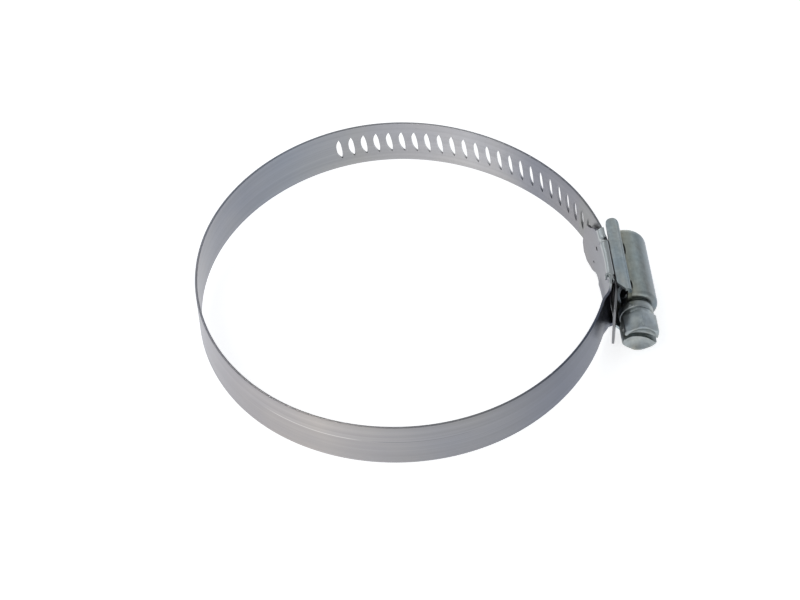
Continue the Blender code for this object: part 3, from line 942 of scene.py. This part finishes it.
def scratch(m):
    """Masks of one thin scratch along the near side, outside: its light stretch, then its dark one."""
    x, y, z = m.position()
    wander = m.math("MULTIPLY", m.noise(30.0, (1, 1, 0), 1.0, 0.4, 5.0), 1.2 * MM)
    off = m.math("ABSOLUTE", m.math("SUBTRACT", m.math("SUBTRACT", z, wander), SCRATCH_Z * MM))
    outward = m.add("ShaderNodeVectorMath", operation="DOT_PRODUCT")
    m.link(m.add("ShaderNodeNewGeometry").outputs["Normal"], outward.inputs[0])
    m.link(m.coords, outward.inputs[1])
    outside = m.math("GREATER_THAN", outward.outputs["Value"], 0.0)
    near = m.times(m.rise(y, -28.0, -9.09), outside, m.rise(off, SCRATCH_HALF, -SCRATCH_HALF))
    light = m.times(near, m.rise(x, -35.0, 3.33), m.rise(x, -13.0, -3.33))
    dark = m.times(near, m.rise(x, -11.5, 3.33), m.rise(x, 15.0, -5.0))
    return light, dark


def band_material(name, tones_and_painted_light=PAINTED_LIGHT_ROUND_RING, wing=False):
    """Satin stainless strip: fine rolling lines along it, faint stains, one long scratch, and painted light
    and shade round the ring.

    The fixed end's upper turned-up wing and the curl are painted brighter and greener, a painted highlight.
    """
    m = Nodes(name)
    lines = m.noise(1.0, (25, 25, 9000), 3.0, 0.6)
    broad = m.noise(1.0, (12, 12, 900), 2.0, 0.5, 3.0)
    stain = m.noise(26.0, (1, 1, 1.5), 3.0, 0.6, 7.0)
    grain = m.noise(2600.0, (1, 1, 1), 2.0, 0.6)
    base = m.ramp(stain, ((0.30, (0.300, 0.305, 0.350)), (0.50, (0.335, 0.332, 0.360)),
                          (0.70, (0.375, 0.362, 0.365))))
    streak = m.grey(lines, [(0.30, 0.93), (0.70, 1.05)])
    color = m.mix(1.0, base, streak, "MULTIPLY")
    color = m.mix(1.0, color, m.grey(broad, [(0.35, 0.93), (0.65, 1.05)]), "MULTIPLY")
    # Painted light and shade round the ring: painted light in front and at the back, painted shade by the
    # housing.
    x, y, z = m.position()
    around = m.math("ADD", m.math("DIVIDE", m.math("ARCTAN2", y, x), 2.0 * math.pi), 0.5)
    around = m.math("ADD", around, m.math("MULTIPLY", m.math("SUBTRACT", stain, 0.5), 0.05))
    color = m.mix(1.0, color, m.ramp(around, tones_and_painted_light), "MULTIPLY")
    light, dark = scratch(m)
    color = m.mix(light, color, (0.74, 0.72, 0.70))
    color = m.mix(m.math("MULTIPLY", dark, 0.9), color, (0.17, 0.17, 0.19))
    if wing:
        # Painted highlight: above 6.3 mm the upper wing's lip and the curl are painted brighter and greener.
        painted_lip_highlight = m.mix(1.0, streak, (0.46, 0.49, 0.49), "MULTIPLY")
        color = m.mix(m.rise(z, 6.3, 1.11), color, painted_lip_highlight)
    rough = m.math("ADD", m.math("MULTIPLY", lines, 0.10), 0.27)
    rough = m.math("ADD", rough, m.math("MULTIPLY", grain, 0.05))
    height = m.math("ADD", lines, m.math("MULTIPLY", grain, 0.35))
    height = m.math("SUBTRACT", height, m.math("MULTIPLY", m.math("MAXIMUM", light, dark), 0.8))
    return m.finish(color, rough, height, 0.24, 0.012 * MM)


def housing_tint_and_painted_light(m, cloud):
    """Passivation hues with painted light and shade: olive and painted lighter beside the crease, painted
    darker and bluer across the barrel, the side walls painted lighter, and painted darker at their bend by
    the web.
    """
    x, _, z = m.position()
    across = m.rise(x, WEB_TOP - 0.15, 6.6)
    across = m.math("ADD", across, m.math("MULTIPLY", m.math("SUBTRACT", cloud, 0.5), 0.5))
    tint_and_painted_light = m.ramp(across, ((0.00, (1.10, 1.00, 0.84)), (0.22, (1.30, 1.25, 1.12)),
                           (0.45, (1.00, 1.00, 0.96)), (0.70, (0.58, 0.60, 0.62)),
                           (1.00, (0.54, 0.61, 0.72))))
    wall = m.rise(m.math("ABSOLUTE", z), 6.2, 0.333)
    tint_and_painted_light = m.mix(wall, tint_and_painted_light, (1.34, 1.38, 1.42))
    return m.mix(m.times(wall, m.rise(x, 51.9, 0.4)), tint_and_painted_light, (0.66, 0.72, 0.78))


def painted_shade_inside(m):
    """Mask of the painted shade inside the housing: under the web, and the screw's bore, painted near black.
    """
    x, y, z = m.position()
    edge = 0.167
    under = m.times(m.rise(x, 51.9, -edge), m.rise(m.math("ABSOLUTE", z), SIDE_HALF - SHEET + 0.05, -edge))
    dx = m.math("SUBTRACT", x, SCREW_X * MM)
    radius = m.math("SQRT", m.math("ADD", m.times(dx, dx), m.times(z, z)))
    bore = m.times(m.rise(radius, BORE_R + 0.5, -edge), m.rise(y, BARREL_HEAD + 0.45, edge))
    return m.math("MAXIMUM", under, bore)


def zinc_material(name, stops, offset, rough_low, rough_high, brush, housing=False):
    """Zinc plate: cloudy passivation colours, fine pitting, drawing marks and small scratches. On the
    housing, also painted light and shade across it and painted shade inside.
    """
    m = Nodes(name)
    cloud = m.noise(150.0, (1.0, 0.45, 1.0), 4.0, 0.6, offset)
    fine = m.noise(900.0, (1, 1, 1), 3.0, 0.6, offset + 2.0)
    grain = m.noise(4200.0, (1, 1, 1), 2.0, 0.6, offset)
    drawn = m.noise(1.0, brush, 3.0, 0.6, offset + 1.0)
    color = m.ramp(cloud, stops)
    if housing:
        # Passivation hues with painted light and shade across the housing.
        color = m.mix(1.0, color, housing_tint_and_painted_light(m, cloud), "MULTIPLY")
    color = m.mix(1.0, color, m.grey(fine, [(0.3, 0.84), (0.7, 1.12)]), "MULTIPLY")
    color = m.mix(1.0, color, m.grey(drawn, [(0.3, 0.90), (0.7, 1.08)]), "MULTIPLY")
    if housing:
        # Painted shade: the inside under the web and the screw's bore are painted near black.
        color = m.mix(painted_shade_inside(m), color, (0.045, 0.045, 0.05))
    rough = m.math("ADD", m.math("MULTIPLY", fine, rough_high - rough_low), rough_low)
    height = m.math("ADD", m.math("MULTIPLY", grain, 0.6), m.math("MULTIPLY", fine, 0.8))
    height = m.math("ADD", height, m.math("MULTIPLY", drawn, 0.5))
    return m.finish(color, rough, height, 0.45, 0.02 * MM)


def floor_material():
    m = Nodes("studio_floor")
    tone = m.noise(3.0, (1, 1, 1), 2.0, 0.5)
    color = m.grey(tone, [(0.3, 0.90), (0.7, 0.93)])
    m.link(color, m.shader.inputs["Base Color"])
    m.shader.inputs["Roughness"].default_value = 0.9
    m.shader.inputs["Specular IOR Level"].default_value = 0.1
    m.shader.inputs["Emission Color"].default_value = (1.0, 1.0, 1.0, 1.0)
    m.shader.inputs["Emission Strength"].default_value = 0.62
    return m.mat


# ---- stage -----------------------------------------------------------------------------

def build_floor():
    low = cad_box[0].z / MM - 0.02
    verts, faces = [(0.0, 0.0, low)], []
    rings = (120.0, 300.0, 900.0)
    seg = 48
    for radius in rings:
        for j in range(seg):
            a = 2.0 * math.pi * j / seg
            verts.append((radius * math.cos(a), radius * math.sin(a), low))
    for j in range(seg):
        faces.append([0, 1 + j, 1 + (j + 1) % seg])
        for k in range(len(rings) - 1):
            a, b = 1 + k * seg, 1 + (k + 1) * seg
            faces.append([a + j, b + j, b + (j + 1) % seg, a + (j + 1) % seg])
    floor = new_object("studio_floor", verts, faces)
    if floor.data.polygons[0].normal.z < 0:
        floor.data.flip_normals()
    floor.data.materials.append(floor_material())


def area_light(name, place_mm, target_mm, size, power, color):
    data = bpy.data.lights.new(name, "AREA")
    data.shape = "RECTANGLE"
    data.size, data.size_y = size[0] * MM, size[1] * MM
    data.energy = power
    data.color = color
    obj = bpy.data.objects.new(name, data)
    obj.location = Vector(place_mm) * MM
    obj.rotation_mode = "QUATERNION"
    obj.rotation_quaternion = (Vector(target_mm) - Vector(place_mm)).to_track_quat("-Z", "Y")
    bpy.context.scene.collection.objects.link(obj)


def build_world():
    """Even soft studio light, brighter at the horizon than overhead."""
    world = bpy.data.worlds.new("studio")
    bpy.context.scene.world = world
    world.use_nodes = True
    tree = world.node_tree
    back = tree.nodes["Background"]
    coords = tree.nodes.new("ShaderNodeTexCoord")
    split = tree.nodes.new("ShaderNodeSeparateXYZ")
    ramp = tree.nodes.new("ShaderNodeValToRGB")
    tree.links.new(coords.outputs["Generated"], split.inputs["Vector"])
    tree.links.new(split.outputs["Z"], ramp.inputs["Fac"])
    tree.links.new(ramp.outputs["Color"], back.inputs["Color"])
    set_stops(ramp, ((0.0, (0.90, 0.92, 0.95)), (0.28, (0.68, 0.70, 0.74)),
                     (0.75, (0.47, 0.49, 0.51)), (1.0, (0.42, 0.43, 0.44))))
    back.inputs["Strength"].default_value = 0.9


# The camera, in millimetres and degrees, in a frame turned by CAMERA_TURN about the hose's axis.
CAMERA_TURN = 3.3
CAMERA_ELEVATION = 49.37
CAMERA_DISTANCE = 598.67
CAMERA_ROLL = -2.52
CAMERA_LENS = 113.63
CAMERA_SIDE = -0.325
CAMERA_LIFT = -3.505


def build_camera():
    e = math.radians(CAMERA_ELEVATION)
    roll = math.radians(CAMERA_ROLL)
    back = Vector((0.0, -math.cos(e), math.sin(e)))
    right = Vector((1.0, 0.0, 0.0))
    up = back.cross(right)
    across = right * math.cos(roll) + up * math.sin(roll)
    upright = -right * math.sin(roll) + up * math.cos(roll)
    spot = back * CAMERA_DISTANCE + across * CAMERA_SIDE + upright * CAMERA_LIFT
    c, s = math.cos(math.radians(CAMERA_TURN)), math.sin(math.radians(CAMERA_TURN))

    def turn(v):
        return Vector((v.x * c + v.y * s, -v.x * s + v.y * c, v.z))

    cam = bpy.data.objects.new("camera", bpy.data.cameras.new("camera"))
    cam.data.lens = CAMERA_LENS
    cam.data.sensor_width = 36.0
    cam.data.clip_start = 0.01
    bpy.context.scene.collection.objects.link(cam)
    columns = (turn(across), turn(upright), turn(back))
    matrix = cam.matrix_world.copy()
    for j, column in enumerate(columns):
        for i in range(3):
            matrix[i][j] = column[i]
    where = turn(spot) * MM
    for i in range(3):
        matrix[i][3] = where[i]
    cam.matrix_world = matrix
    bpy.context.scene.camera = cam


HOUSING_CLOUDS = ((0.30, (0.29, 0.35, 0.385)), (0.46, (0.335, 0.375, 0.38)),
                  (0.60, (0.37, 0.385, 0.365)), (0.74, (0.38, 0.36, 0.29)))
SCREW_CLOUDS = ((0.30, (0.28, 0.33, 0.375)), (0.48, (0.32, 0.355, 0.365)),
                (0.62, (0.355, 0.37, 0.35)), (0.75, (0.38, 0.36, 0.30)))


def main():
    wings = band_material("band_stainless_wings", wing=True)
    build_links(band_material("band_stainless"))
    build_tail(band_material("band_stainless_tail", TONE_OF_TAIL))
    build_fixed_end(wings)
    build_curl(wings)
    build_screw(zinc_material("screw_zinc", SCREW_CLOUDS, 29.0, 0.26, 0.46, (700, 700, 700)))
    build_housing(zinc_material("housing_zinc", HOUSING_CLOUDS, 11.0, 0.27, 0.48, (900, 60, 900), True))
    build_floor()
    build_world()
    area_light("key", (-250, -350, 520), (20, 0, 0), (300, 300), 0.60, (1.0, 0.98, 0.95))
    area_light("fill", (420, 260, 380), (40, 0, 0), (260, 200), 0.05, (0.92, 0.96, 1.0))
    area_light("back", (-330, 430, 380), (50, 0, 0), (260, 260), 0.22, (0.93, 0.97, 1.0))
    area_light("glint", (-90, 260, 520), (50, 0, 0), (60, 60), 0.10, (1.0, 0.99, 0.96))
    build_camera()
    bpy.context.scene.view_settings.view_transform = "Standard"


main()
